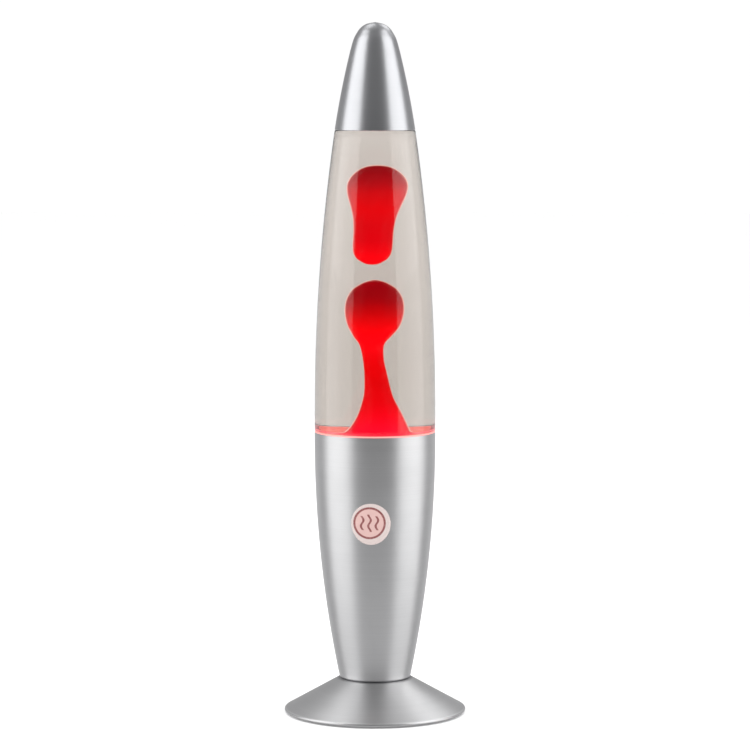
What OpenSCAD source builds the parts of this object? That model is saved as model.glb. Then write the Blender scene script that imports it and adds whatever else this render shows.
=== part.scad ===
// Rocket-shaped lava lamp. Millimetres, +Z up, origin on the table under the lamp's centre.
// The front of the lamp faces -Y and the cord leaves at +Y.

/* [Overall] */
// Height of the whole lamp
lamp_h = 410; // [350:5:480]
// Width of the foot across its rolled rim
foot_d = 108; // [95:1:130]
// Width of the base cup and the glass where they meet
body_d = 71.6; // [66:0.1:90]

/* [Sections] */
// Height of the foot's flat top above the table
foot_h = 21; // [19:0.5:26]
// Height of the base cup
cup_h = 147.5; // [130:0.1:180]
// Height of the top cap
cap_h = 63.1; // [54:0.1:76]

/* [Outline] */
// Width of the waist, where the cup meets the foot
waist_d = 42; // [36:0.5:50]
// Width of the glass and the cap where they meet
throat_d = 47.5; // [42:0.1:57]
// Radius of the cup's long curve
cup_bow = 700; // [400:10:1200]
// Radius of the glass's long curve
glass_bow = 1180; // [700:10:2000]
// Radius of the top cap's long curve
cap_bow = 520; // [300:10:900]
// Height of the cap's rounded nose
nose_h = 16; // [13:0.5:20]

/* [Walls] */
// Sheet thickness of the foot and the base cup
metal_t = 1; // [0.8:0.1:1.2]
// Sheet thickness of the top cap
cap_t = 0.8; // [0.6:0.1:1]
// Wall thickness of the glass bottle
glass_t = 2.2; // [1.8:0.1:2.8]

/* [Bottle] */
// Height of the seat ring's lip between the cup and the glass
lip_h = 0.8; // [0.6:0.1:2]
// Width of the bottle's neck
neck_d = 26; // [22:0.5:28]
// Height of the neck above the glass shoulder
neck_h = 33; // [28:0.5:36]
// Height of the wax pool's surface below the cup's rim
pool_drop = 4.4; // [2:0.1:8]

/* [Bulb] */
// Width of the reflector bulb
bulb_d = 39; // [35:0.5:42]
// Length of the bulb from its tip to its face
bulb_l = 66; // [62:0.5:70]
// Free height between the bulb's face and the bottle
bulb_gap = 10.5; // [10:0.5:14]
// Pitch of the bulb's screw thread
screw_pitch = 2.82; // [2.8:0.01:2.9]

/* [Small parts] */
// Width of the lampholder
holder_d = 28; // [27:0.5:30]
// Width of the hollow threaded nipple
nipple_d = 10; // [9.5:0.5:10.5]
// Width of the cord hole in the grommet
cord_hole_d = 6.4; // [6:0.1:7]
// Width of the round label
label_d = 24.5; // [20:0.5:30]
// Height of the label's centre above the table
label_z = 117.5; // [95:0.5:125]
// Thickness of the rubber feet under the cover
pad_h = 1.2; // [1:0.1:2]

/* [Fits] */
// Gap round pieces that lift off or move
lift_gap = 0.35; // [0.3:0.05:0.6]
// Gap between pieces that stay together
snug = 0.05; // [0.03:0.01:0.1]

/* [Hidden] */
$fn = 96;

// Heights of the main joints, from the table up
cup_z = foot_h;
cup_floor_z = cup_z + metal_t;
rim_z = cup_z + cup_h;
glass_z = rim_z + lip_h;
shoulder_z = lamp_h - cap_h;
neck_z = shoulder_z + neck_h;
liquid_z = shoulder_z + 5;
pool_z = rim_z - pool_drop;
window_h = shoulder_z - rim_z;

// Foot
bead_r = 1.1;
bead_z = 0.8 + bead_r;
bead_x = foot_d / 2 - bead_r;
foot_top_r = waist_d / 2 + 1;
bead_start = 75;
foot_bevel = 0.3;
foot_slope = atan2(
    foot_h - foot_bevel - bead_z - bead_r * sin(bead_start),
    bead_x + bead_r * cos(bead_start) - foot_top_r
);
cover_z = pad_h;
cover_t = 2;
cover_wall_h = 4;
foot_pad_r = 6;
foot_stem_r = 2;
foot_circle_r = 0.74 * foot_d / 2;

// Grommet, in a round-topped notch at the back of the rim
cord_z = 5;
grommet_r = 5;
grommet_y = 0.63 * foot_d / 2;

// Clamping stack on the hollow nipple
nipple_r = nipple_d / 2;
nipple_bore_r = nipple_r - 1;
washer_t = 1;
nut_h = 3;
nut_d = 16;
nipple_z = 13;
holder_z = cup_floor_z + washer_t;
nipple_top_z = holder_z + 7;

// Lampholder
holder_r = holder_d / 2;
holder_wall = 2;
core_z = holder_z + 12.5;
core_h = 6;
core_top_z = core_z + core_h;
strip_t = 0.5;
holder_top_z = core_top_z + 21;
contact_drop = 0.7;

// Bulb
bulb_z = core_top_z + 1;
bulb_cap_z = bulb_z + 3.5;
bulb_neck_z = bulb_z + 20;
bulb_face_z = bulb_z + bulb_l;
bulb_wall = 0.8;
thread_r = 6.95;
thread_depth = 0.6;
sheet_t = 0.35;
shell_r = thread_r + lift_gap;

// Bottle
bottle_z = bulb_face_z + bulb_gap;
bottle_floor = 2.6;
seat_wall = 0.9;
bottle_seat_r = cup_r(rim_z) - metal_t - snug - seat_wall - lift_gap;
bottle_foot_r = 0.83 * bottle_seat_r;
neck_r = neck_d / 2;
neck_bore_r = neck_r - glass_t;
closure_r = neck_r + 1.9;
closure_h = 15;
seal_t = 1;
ledge = 1.2;

// Wax, in millimetres above the pool for a window of 178.4 mm, then scaled to the real window
wax_gap = 0.3;
wax_up = window_h / 178.4;
wax_out = body_d / 71.6;
column_points = [
    [30.6, 0], [22, 0.7], [16.8, 2.5], [13.4, 6.9], [10.3, 14.2], [7.1, 24], [6, 29.5],
    [5.1, 39], [4.7, 48], [5.5, 56], [8.4, 61], [11, 65.8], [12.5, 70.8], [13.1, 76.6],
    [12.4, 83], [9.8, 88.8], [6.1, 92.2], [0, 94.4]
];
blob_points = [
    [0, 103], [4.5, 104.4], [7, 106.7], [8.4, 110], [8.8, 114.5], [8.9, 123], [9.6, 130.5],
    [11.1, 137], [12.8, 143], [13.5, 148.3], [12.6, 152.8], [9.8, 157.3], [5.4, 160.6], [0, 161.6]
];

// Nose of the cap, as fractions of its radius and height
nose_points = [[1, 0], [0.875, 0.375], [0.745, 0.6], [0.6, 0.78], [0.355, 0.93], [0, 1]];

// Wire coil on the bottle's floor
coil_ring_r = 0.6 * bottle_foot_r;
coil_r = 2.6;
wire_r = 0.35;
coil_turns = 24;
coil_z = bottle_z + bottle_floor + coil_r + wire_r + 0.5;
coil_room = coil_r + wire_r + 0.3;

// Colours
spun_metal = [0.72, 0.72, 0.74];
steel = [0.62, 0.63, 0.65];
brass = [0.78, 0.62, 0.32];
black_plastic = [0.06, 0.06, 0.07];
dark_rubber = [0.1, 0.1, 0.1];
white_ceramic = [0.9, 0.89, 0.86];
clear = [0.85, 0.88, 0.9, 0.35];
red_wax = [0.85, 0.03, 0.05];

// Radius at height z of an arc that bulges outwards from (r0, z0) up to (r1, z1)
function bowed(z, z0, r0, z1, r1, bow) =
    let (dz = z1 - z0, dr = r1 - r0, chord = norm([dz, dr]))
    let (away = sqrt(bow * bow - chord * chord / 4))
    let (centre_r = (r0 + r1) / 2 - away * dz / chord)
    let (centre_z = (z0 + z1) / 2 + away * dr / chord)
    centre_r + sqrt(bow * bow - pow(z - centre_z, 2));

// Outer radius of the cup, the glass and the cap at height z
function cup_r(z) = bowed(z, cup_z, waist_d / 2, rim_z, body_d / 2, cup_bow);
function glass_r(z) = bowed(z, glass_z, body_d / 2, shoulder_z, throat_d / 2, glass_bow);
nose_z = lamp_h - nose_h;
nose_r = closure_r + lift_gap + cap_t - 1.7;
function cap_r(z) = bowed(z, shoulder_z, throat_d / 2, nose_z, nose_r, cap_bow);

// Radius of the foot's inner face at height z
function foot_inner_r(z) =
    foot_top_r + (foot_h - foot_bevel - z) / tan(foot_slope) - metal_t / sin(foot_slope);

// Heights from z0 to z1 in n steps
function steps(z0, z1, n) = [for (i = [0:n]) z0 + (z1 - z0) * i / n];

// Points of an arc about c, from angle a0 to a1
function arc(c, r, a0, a1, n = 8) =
    [for (i = [0:n]) let (a = a0 + (a1 - a0) * i / n) c + r * [cos(a), sin(a)]];

// A smooth line through points, with n short pieces between each two
function blend(a, b, c, d, t) =
    0.5 * (2 * b + (c - a) * t + (2 * a - 5 * b + 4 * c - d) * t * t
        + (3 * b - a - 3 * c + d) * t * t * t);
function smooth(p, n = 4) = [
    for (i = [0:len(p) - 2], j = [0:n - 1])
        blend(p[max(i - 1, 0)], p[i], p[i + 1], p[min(i + 2, len(p) - 1)], j / n),
    p[len(p) - 1]
];
function not_negative(p) = [for (q = p) [max(q.x, 0), q.y]];
function reversed(p) = [for (i = [len(p) - 1:-1:0]) p[i]];

// A line carried on past the axis at its ends, so that it crosses the axis level
function past_axis(p) = let (last = len(p) - 1) concat(
    p[0].x == 0 ? [[-p[1].x, p[1].y]] : [], p, [[-p[last - 1].x, p[last - 1].y]]
);

// A wax outline at its real height and width
function wax_outline(points) =
    [for (q = smooth(past_axis(points))) if (q.x >= 0) [q.x * wax_out, pool_z + q.y * wax_up]];

// A bent wire along a path, each cross-section turned as little as possible from the one before
module sweep(path, r, sides = 8) {
    n = len(path);
    along = [for (i = [0:n - 1])
        let (a = path[max(i - 1, 0)], b = path[min(i + 1, n - 1)])
        (b - a) / norm(b - a)];
    start = cross(along[0], abs(along[0].z) > 0.9 ? [0, 1, 0] : [0, 0, 1]);
    side = [for (i = 0, s = start; i < n; i = i + 1,
        s = i < n ? s - (s * along[i]) * along[i] : s) s / norm(s)];
    points = [for (i = [0:n - 1], k = [0:sides - 1])
        let (a = 360 * k / sides)
        path[i] + r * (cos(a) * side[i] + sin(a) * cross(along[i], side[i]))];
    walls = [for (i = [0:n - 2], k = [0:sides - 1], half = [0, 1])
        let (j = i + 1, m = (k + 1) % sides)
        half == 0
            ? [i * sides + k, j * sides + k, j * sides + m]
            : [i * sides + k, j * sides + m, i * sides + m]];
    ends = [
        [for (k = [0:sides - 1]) k],
        [for (k = [sides - 1:-1:0]) (n - 1) * sides + k]
    ];
    polyhedron(points, concat(walls, ends));
}

module ring(z, h, outer, inner) {
    translate([0, 0, z]) difference() {
        cylinder(r = outer, h = h);
        translate([0, 0, -1]) cylinder(r = inner, h = h + 2);
    }
}

// ---- Foot ----

// The keyhole outline of the notch or the grommet, pushed through the rim along +Y
module notch_shape(grow) {
    r = grommet_r + grow;
    half = 0.94 * r;
    translate([0, grommet_y - grow, cord_z]) rotate([-90, 0, 0]) cylinder(r = r, h = 40);
    translate([-half, grommet_y - grow, -5]) cube([2 * half, 40, 5 + cord_z]);
}

module foot() {
    color(spun_metal) difference() {
        rotate_extrude() polygon(concat(
            [[nipple_r + snug, foot_h], [foot_top_r - 0.6, foot_h],
                [foot_top_r, foot_h - foot_bevel]],
            arc([bead_x, bead_z], bead_r, bead_start, bead_start - 285, 16),
            [[foot_inner_r(bead_z + bead_r), bead_z + bead_r],
                [foot_inner_r(foot_h - metal_t), foot_h - metal_t],
                [nipple_r + snug, foot_h - metal_t]]
        ));
        notch_shape(snug);
    }
}

module bottom_cover() {
    top_z = cover_z + cover_t + cover_wall_h;
    edge = bead_x - bead_r - 0.3;
    wall_r = min(edge, foot_inner_r(cover_z + cover_t) - 2 * snug);
    color(black_plastic) difference() {
        rotate_extrude() polygon([
            [0, cover_z], [wall_r - 0.6, cover_z], [wall_r, cover_z + 0.6],
            [wall_r, cover_z + cover_t],
            [foot_inner_r(top_z) - 2 * snug, top_z], [foot_inner_r(top_z) - 1.8, top_z],
            [wall_r - 3, cover_z + cover_t], [0, cover_z + cover_t]
        ]);
        notch_shape(2 * snug);
        for (i = [0:3]) at_foot(i) translate([0, 0, -1]) cylinder(r = foot_stem_r + snug, h = 10, $fn = 32);
    }
}

module at_foot(i) {
    rotate(45 + 90 * i) translate([foot_circle_r, 0, 0]) children();
}

module rubber_foot(i) {
    head_z = cover_z + cover_t;
    color(dark_rubber) at_foot(i) rotate_extrude($fn = 48) polygon([
        [0, 0], [foot_pad_r - 0.4, 0], [foot_pad_r, 0.4], [foot_pad_r, cover_z],
        [foot_stem_r, cover_z], [foot_stem_r, head_z], [foot_stem_r + 1, head_z],
        [foot_stem_r, head_z + 1.6], [0, head_z + 1.6]
    ]);
}

module cord_grommet() {
    proud = 0.5 * [sin(foot_slope), cos(foot_slope)];
    color(black_plastic) difference() {
        intersection() {
            notch_shape(0);
            rotate_extrude() polygon([
                [0, cover_z], [foot_d / 2, cover_z], [foot_d / 2, bead_z],
                [bead_x, bead_z] + proud, [foot_top_r, foot_h] + proud, [0, foot_h]
            ]);
        }
        translate([0, 0, cord_z]) rotate([-90, 0, 0]) cylinder(d = cord_hole_d, h = foot_d);
    }
}

// ---- Base cup ----

module base_cup() {
    corner = 1.6;
    rise = steps(cup_z + corner, rim_z, 14);
    corner_r = cup_r(cup_z + corner) - corner;
    color(spun_metal) rotate_extrude() polygon(concat(
        [[nipple_r + snug, cup_z]],
        arc([corner_r, cup_z + corner], corner, -90, -12, 4),
        [for (z = rise) [cup_r(z), z]],
        [for (z = reversed(rise)) [cup_r(z) - metal_t, z]],
        [[corner_r, cup_floor_z], [nipple_r + snug, cup_floor_z]]
    ));
}

module seat_ring() {
    inner = bottle_seat_r + lift_gap;
    skirt = steps(rim_z - 7, rim_z, 2);
    color(clear) rotate_extrude() polygon(concat(
        [for (z = skirt) [cup_r(z) - metal_t - snug, z]],
        [[body_d / 2 - 0.2, rim_z], [body_d / 2 - 0.1, glass_z], [inner, glass_z], [inner, rim_z - 7]]
    ));
}

// Solid inside the cup's outer face around the label, grown outwards
module cup_solid(grow) {
    low = label_z - label_d / 2 - 1;
    rise = steps(low, low + label_d + 2, 5);
    rotate_extrude() polygon(concat(
        [[0, low]],
        [for (z = rise) [cup_r(z) + grow, z]],
        [[0, low + label_d + 2]]
    ));
}

module label() {
    color([0.93, 0.88, 0.87]) difference() {
        intersection() {
            translate([0, -waist_d / 2, label_z]) rotate([90, 45, 0])
                cylinder(d = label_d, h = body_d);
            cup_solid(0.17);
        }
        cup_solid(0.02);
    }
}

// ---- Clamping stack and wiring ----

module nipple() {
    color(brass) ring(nipple_z, nipple_top_z - nipple_z, nipple_r, nipple_bore_r);
}

module cup_washer() {
    color(steel) ring(cup_floor_z, washer_t, 10, nipple_r + snug);
}

module lock_washer() {
    tooth_w = 1.2;
    color(steel) difference() {
        ring(foot_h - metal_t - washer_t, washer_t, 9, nipple_r + snug);
        for (i = [0:11]) rotate(30 * i)
            translate([7.4, -tooth_w / 2, 0]) cube([5, tooth_w, foot_h]);
    }
}

module lock_nut() {
    nut_z = foot_h - metal_t - washer_t - nut_h;
    color(steel) difference() {
        translate([0, 0, nut_z]) cylinder(d = nut_d, h = nut_h, $fn = 6);
        translate([0, 0, nut_z - 1]) cylinder(r = nipple_r + snug, h = nut_h + 2);
    }
}

block_y = 15;
block_l = 12;
block_w = 18;
block_h = 9;
block_z = cover_z + cover_t;
tube_x = 4.5;
tube_z = block_z + 4.6;
tube_r = 2.2;
clamp_ys = [block_y + 3, block_y + block_l - 3];

module terminal_block() {
    color([0.9, 0.9, 0.88]) difference() {
        translate([-block_w / 2, block_y, block_z]) cube([block_w, block_l, block_h]);
        for (x = [-tube_x, tube_x]) {
            translate([x, block_y - 1, tube_z]) rotate([-90, 0, 0])
                cylinder(r = tube_r + snug, h = block_l + 2, $fn = 32);
            for (y = clamp_ys) translate([x, y, tube_z]) cylinder(r = 1.6, h = block_h, $fn = 32);
        }
    }
}

module terminal_tube(x) {
    color(brass) difference() {
        translate([x, block_y + 1, tube_z]) rotate([-90, 0, 0])
            cylinder(r = tube_r, h = block_l - 2, $fn = 32);
        translate([x, block_y, tube_z]) rotate([-90, 0, 0])
            cylinder(r = tube_r - 0.8, h = block_l, $fn = 32);
        for (y = clamp_ys) translate([x, y, tube_z]) cylinder(r = 1.05 + snug, h = 5, $fn = 32);
    }
}

module terminal_screws() {
    color(steel) for (x = [-tube_x, tube_x], y = clamp_ys) translate([x, y, tube_z]) difference() {
        union() {
            translate([0, 0, 1]) cylinder(r = 1.05, h = 3, $fn = 32);
            translate([0, 0, tube_r + 0.4]) cylinder(r = 1.5, h = 1.4, $fn = 32);
        }
        translate([-2, -0.25, tube_r + 1.2]) cube([4, 0.5, 2]);
    }
}

// A lead from a terminal tube up through the nipple to a contact's leg at x = end_x
module lead(side, end_x) {
    screw_z = core_z - 2;
    sweep(smooth([for (p = [
        [tube_x, block_y + 3.6, tube_z - 0.2], [tube_x, 11, tube_z - 0.2], [3.6, 6, tube_z],
        [2.2, 1.6, nipple_z - 2.5], [1.9, 0, nipple_z + 2], [1.9, 0, cup_z],
        [1.9, 0, nipple_top_z - 1], [3, 0, nipple_top_z + 2.6], [end_x - 1.6, 0, screw_z], [end_x, 0, screw_z]
    ]) [side * p.x, p.y, p.z]], 3), 0.85);
}

// ---- Lampholder ----

leg_live_x = 8;
leg_neutral_x = 8.6;

module holder_base() {
    ledge_r = holder_r - holder_wall - 1;
    color(black_plastic) rotate_extrude() polygon([
        [nipple_r + snug, holder_z], [holder_r - 2, holder_z], [holder_r, holder_z + 2],
        [holder_r, core_z + 1], [holder_r - 1.1, core_z + 1], [holder_r - 1.1, core_z + 5],
        [holder_r - holder_wall, core_z + 5], [holder_r - holder_wall, core_z],
        [ledge_r, core_z], [ledge_r, holder_z + 3], [nipple_r + 3, holder_z + 3],
        [nipple_r + 3, holder_z + 6], [nipple_r + snug, holder_z + 6]
    ]);
}

module holder_core() {
    slot_w = 4.2;
    color(white_ceramic) difference() {
        translate([0, 0, core_z]) cylinder(r = holder_r - holder_wall - snug, h = core_h);
        translate([-leg_live_x - snug, -slot_w / 2, core_top_z - contact_drop - strip_t])
            cube([leg_live_x + 2.2, slot_w, 3]);
        translate([-leg_live_x - snug, -slot_w / 2, core_z - 1])
            cube([strip_t + 2 * snug, slot_w, core_h + 2]);
        translate([leg_neutral_x - snug, -slot_w / 2, core_z - 1])
            cube([strip_t + 2 * snug, slot_w, core_h + 2]);
    }
}

module holder_sleeve() {
    bottom = core_z + 1;
    color(black_plastic) rotate_extrude() polygon([
        [holder_r - 1.1 + snug, bottom], [holder_r, bottom], [holder_r, holder_top_z - 1.5],
        [holder_r - 1.5, holder_top_z], [9.4, holder_top_z], [9.4, holder_top_z - 1.5],
        [holder_r - 1.8, holder_top_z - 1.5], [holder_r - 1.8, core_z + 5 + snug],
        [holder_r - 1.1 + snug, core_z + 5 + snug]
    ]);
}

// Wavy line of a rolled screw thread: radius at height h above its start
function thread_wave(r, h) = r + thread_depth * (0.5 - 0.5 * cos(360 * h / screw_pitch));

module thread_shell() {
    z0 = core_top_z + 1.5;
    h = 5 * screw_pitch;
    rise = steps(0, h, 40);
    color(brass) rotate_extrude() polygon(concat(
        [[shell_r, core_top_z], [holder_r - holder_wall - 0.4, core_top_z],
            [holder_r - holder_wall - 0.4, core_top_z + 0.5], [shell_r + sheet_t, core_top_z + 0.5]],
        [for (u = rise) [thread_wave(shell_r + sheet_t, u), z0 + u]],
        [[shell_r + sheet_t + 0.3, z0 + h + 1.5], [shell_r + 0.3, z0 + h + 1.5]],
        [for (u = reversed(rise)) [thread_wave(shell_r, u), z0 + u]]
    ));
}

// Strip across the core's groove, with its bump under the bulb's tip and its leg to the left
module centre_contact() {
    w = 4;
    top = core_top_z - contact_drop;
    color(brass) {
        translate([-leg_live_x, -w / 2, top - strip_t]) cube([leg_live_x + 2, w, strip_t]);
        translate([0, 0, top - 0.1]) cylinder(r1 = 2, r2 = 1.5, h = bulb_z - top + 0.1, $fn = 32);
        translate([-leg_live_x, -w / 2, core_z - 4]) cube([strip_t, w, top - core_z + 4]);
    }
}

module side_contact() {
    w = 4;
    color(brass) translate([leg_neutral_x, -w / 2, core_z - 4])
        cube([strip_t, w, core_top_z - core_z + 4]);
}

module holder_screws() {
    screw_z = core_z - 2;
    color(steel) for (x = [-leg_live_x, leg_neutral_x + strip_t])
        translate([x, 0, screw_z]) rotate([0, x < 0 ? -90 : 90, 0]) difference() {
            cylinder(r = 1.6, h = 1.4, $fn = 32);
            translate([-2, -0.25, 0.8]) cube([4, 0.5, 1]);
        }
}

// ---- Bulb ----

// Outline of the bulb's glass from its neck to the middle of its face, moved inwards by inset
function bulb_outline(inset) =
    let (r = bulb_d / 2 - inset, face = bulb_face_z - inset, h = face - bulb_neck_z)
    not_negative(smooth([
        [6.3 - inset, bulb_neck_z - 2], [6.4 - inset, bulb_neck_z + 1],
        [7.8 - inset, bulb_neck_z + 0.13 * h], [0.6 * r, bulb_neck_z + 0.3 * h],
        [0.82 * r, bulb_neck_z + 0.46 * h], [0.96 * r, bulb_neck_z + 0.6 * h],
        [r, bulb_neck_z + 0.74 * h], [0.98 * r, face - 6.4], [0.88 * r, face - 3.4],
        [0.7 * r, face - 1.7], [0.35 * r, face - 0.4], [0, face]
    ], 3));

module bulb_glass() {
    color([0.9, 0.92, 0.94, 0.4]) rotate_extrude() polygon(concat(
        bulb_outline(0), reversed(bulb_outline(bulb_wall))
    ));
}

module bulb_screw_cap() {
    h = 5 * screw_pitch;
    rise = steps(0, h, 40);
    low_r = thread_r - thread_depth;
    collar_z = bulb_cap_z + h;
    color(steel) rotate_extrude() polygon(concat(
        [[4.4, bulb_cap_z - 1.2]],
        [for (u = rise) [thread_wave(low_r, u), bulb_cap_z + u]],
        [[thread_r - 0.2, collar_z + 0.4], [thread_r - 0.2, bulb_neck_z],
            [thread_r - 0.2 - sheet_t, bulb_neck_z], [thread_r - 0.2 - sheet_t, collar_z + 0.4]],
        [for (u = reversed(rise)) [thread_wave(low_r, u) - sheet_t, bulb_cap_z + u]],
        [[4.4 - sheet_t, bulb_cap_z - 1.2 + sheet_t]]
    ));
}

module bulb_insulator() {
    color([0.05, 0.05, 0.06]) rotate_extrude($fn = 48) polygon([
        [0, bulb_z + 1.1], [2.4, bulb_z + 1.1], [3.95, bulb_cap_z - 1.2],
        [3.9, bulb_cap_z - 0.7], [0, bulb_cap_z - 0.7]
    ]);
}

module bulb_tip() {
    color([0.7, 0.7, 0.68]) rotate_extrude($fn = 48) polygon([
        [0, bulb_z], [1.6, bulb_z], [2.3, bulb_z + 0.5], [2.3, bulb_z + 1.1], [0, bulb_z + 1.1]
    ]);
}

stem_top_z = bulb_neck_z + 13;
filament_z = stem_top_z + 9;
filament_x = 6;

module bulb_stem() {
    flare_r = 6.3 - bulb_wall - snug;
    color([0.9, 0.92, 0.94, 0.4]) rotate_extrude($fn = 48) polygon(concat(
        [[0, bulb_neck_z + 0.6], [2, bulb_neck_z - 0.8], [flare_r, bulb_neck_z - 1.8], [flare_r, bulb_neck_z - 0.9]],
        smooth([[3.4, bulb_neck_z + 0.8], [2.2, bulb_neck_z + 3.5], [2, bulb_neck_z + 8], [2, stem_top_z - 0.6]], 3),
        [[1.4, stem_top_z], [0, stem_top_z]]
    ));
}

module bulb_lead_wires() {
    color(steel) for (side = [-1, 1]) sweep(smooth([
        [side * 1.1, 0, stem_top_z + snug], [side * 1.1, 0, stem_top_z + 2],
        [side * 4.6, 0, filament_z - 2.6], [side * filament_x, 0, filament_z + 0.6]
    ], 3), 0.25, 6);
}

module bulb_filament() {
    turns = 12;
    span = filament_x - 0.9;
    color([0.45, 0.42, 0.4]) sweep([
        for (i = [0:turns * 6])
            let (a = 60 * i, x = -span + 2 * span * i / (turns * 6))
            [x, 0.5 * cos(a), filament_z + 0.5 * sin(a) + 1.2 * (1 - pow(x / span, 2))]
    ], 0.12, 4);
}

// ---- Bottle ----

module glass_bottle() {
    bend = 1.4;
    rise = steps(glass_z + bend, shoulder_z - 0.9, 14);
    top_r = glass_r(shoulder_z);
    color(clear) rotate_extrude() polygon(concat(
        [[0, bottle_z + 1.2], [bottle_foot_r * 0.6, bottle_z + 1], [bottle_foot_r * 0.78, bottle_z]],
        arc([bottle_foot_r - 3.4, bottle_z + 3.4], 3.4, -90, -5, 5),
        [[bottle_seat_r, glass_z - 1], [bottle_seat_r, glass_z]],
        [[body_d / 2 - ledge, glass_z]],
        arc([body_d / 2 - 1.2, glass_z + bend], bend, -78, -31, 4),
        [for (z = rise) [glass_r(z), z]],
        arc([top_r - 0.8, shoulder_z - 0.8], 0.8, 15, 90, 3),
        smooth([[top_r - 2.2, shoulder_z], [top_r - 5, shoulder_z + 4.4],
            [neck_r + 1.2, shoulder_z + 10.5], [neck_r, shoulder_z + 14]], 4),
        [[neck_r, neck_z - 0.8], [neck_r - 0.8, neck_z], [neck_bore_r + 0.5, neck_z],
            [neck_bore_r, neck_z - 0.5]],
        bottle_inside(0)
    ));
}

// Inner wall of the bottle from the neck's bore down to the floor, moved inwards by inset
function bottle_inside(inset) =
    let (top_r = glass_r(shoulder_z), floor_z = bottle_z + bottle_floor)
    let (inner_rise = steps(glass_z + 3.4, shoulder_z - 5, 12), wall_top = shoulder_z - 4)
    let (inside_foot_r = bottle_foot_r - glass_t)
    concat(
        smooth([[neck_bore_r - inset, shoulder_z + 14.5], [neck_bore_r + 1.6 - inset, shoulder_z + 9.2],
            [top_r - 5.9 - inset, shoulder_z + 2.7], [top_r - 3.5 - inset, shoulder_z - 0.7],
            [glass_r(wall_top) - glass_t - inset, wall_top]], 3),
        [for (z = reversed(inner_rise)) if (z < shoulder_z - 6) [glass_r(z) - glass_t - inset, z]],
        [[bottle_seat_r - glass_t - inset, glass_z - 2.6]],
        reversed(arc([inside_foot_r - 2.4, floor_z + 2.4], 2.4 - inset, -90, -5, 4)),
        [[0, floor_z + inset]]
    );

module bottle_cap() {
    top = neck_z + seal_t;
    skirt_r = closure_r - 0.4;
    color([0.75, 0.75, 0.76]) {
        rotate_extrude() polygon([
            [neck_r + 0.3, neck_z + seal_t - closure_h], [skirt_r, neck_z + seal_t - closure_h],
            [skirt_r, top + 0.5], [skirt_r - 0.8, top + 1], [0, top + 1], [0, top], [neck_r + 0.3, top]
        ]);
        for (i = [0:23]) rotate(15 * i) translate([skirt_r - 0.3, 0, top - closure_h + 2])
            cylinder(r = 0.7, h = closure_h - 3, $fn = 24);
    }
}

module cap_seal() {
    color([0.85, 0.85, 0.82]) translate([0, 0, neck_z]) cylinder(r = neck_r + 0.2, h = seal_t);
}

module liquid() {
    inside = [for (p = bottle_inside(snug)) if (p.y <= liquid_z) p];
    top_inside = [for (p = inside) if (p.y > pool_z + 0.6) p];
    color([0.9, 0.9, 0.88, 0.3]) difference() {
        rotate_extrude() polygon(concat(
            [[0, liquid_z], [bottle_inner_r(liquid_z) - snug, liquid_z]],
            top_inside,
            [[bottle_inner_r(pool_z + 0.5) - snug, pool_z + 0.5], [0, pool_z + 0.5]]
        ));
        wax_solid(column_points, 2 * snug);
        wax_solid(blob_points, wax_gap);
    }
}

// Inner radius of the bottle at height z, read off the same line as its wall
function bottle_inner_r(z) = let (p = bottle_inside(0)) let (pairs = [
    for (i = [0:len(p) - 2]) if (p[i].y >= z && p[i + 1].y < z) [p[i], p[i + 1]]
]) let (a = pairs[0][0], b = pairs[0][1]) a.x + (b.x - a.x) * (a.y - z) / (a.y - b.y);

// A turned wax body, moved outwards by grow
module wax_solid(points, grow) {
    line = wax_outline(points);
    n = len(line);
    out = [for (i = [0:n - 1])
        let (t = line[min(i + 1, n - 1)] - line[max(i - 1, 0)])
        [line[i].x == 0 ? 0 : line[i].x + grow * t.y / norm(t), line[i].y - grow * t.x / norm(t)]];
    low = line[0].x == 0 ? [] : [[0, pool_z - 5], [out[0].x, pool_z - 5]];
    rotate_extrude() polygon(concat(low, out));
}

module wax_column() {
    floor_z = bottle_z + bottle_floor;
    pool = [for (p = bottle_inside(snug)) if (p.y < pool_z - 1.5) p];
    column = wax_outline(column_points);
    color(red_wax) difference() {
        rotate_extrude() polygon(concat(
            [[0, floor_z + snug]],
            reversed(pool),
            [[bottle_inner_r(pool_z - 1) - snug, pool_z - 1]],
            column
        ));
        translate([0, 0, floor_z - 1]) ring(0, coil_z - floor_z + coil_room + 1,
            coil_ring_r + coil_room, coil_ring_r - coil_room);
    }
}

module wire_coil() {
    per_turn = 8;
    count = coil_turns * per_turn;
    color(steel) sweep([
        for (i = [0:count])
            let (round_a = 356 * i / count, turn_a = 360 * i / per_turn)
            let (r = coil_ring_r + coil_r * cos(turn_a))
            [r * cos(round_a), r * sin(round_a), coil_z + coil_r * sin(turn_a)]
    ], wire_r, 6);
}

module wax_blob() {
    color(red_wax) wax_solid(blob_points, 0);
}

// ---- Top cap ----

module top_cap() {
    rise = steps(shoulder_z, nose_z, 8);
    nose = [for (p = smooth(nose_points, 4)) [p.x * cap_r(nose_z), nose_z + p.y * nose_h]];
    inner_nose = [for (p = smooth(nose_points, 4))
        [p.x * (cap_r(nose_z) - cap_t), nose_z + p.y * (nose_h - cap_t)]];
    color(spun_metal) rotate_extrude() polygon(concat(
        [for (z = rise) [cap_r(z), z]],
        [for (i = [1:len(nose) - 1]) nose[i]],
        [for (i = [len(nose) - 1:-1:1]) inner_nose[i]],
        [for (z = reversed(rise)) [cap_r(z) - cap_t, z]]
    ));
}

module cap_ring() {
    z = neck_z - 9;
    h = 5;
    color(black_plastic) rotate_extrude() polygon([
        [closure_r + lift_gap, z], [cap_r(z) - cap_t - 2 * snug, z],
        [cap_r(z + h) - cap_t - 2 * snug, z + h], [closure_r + lift_gap, z + h]
    ]);
}

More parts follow.
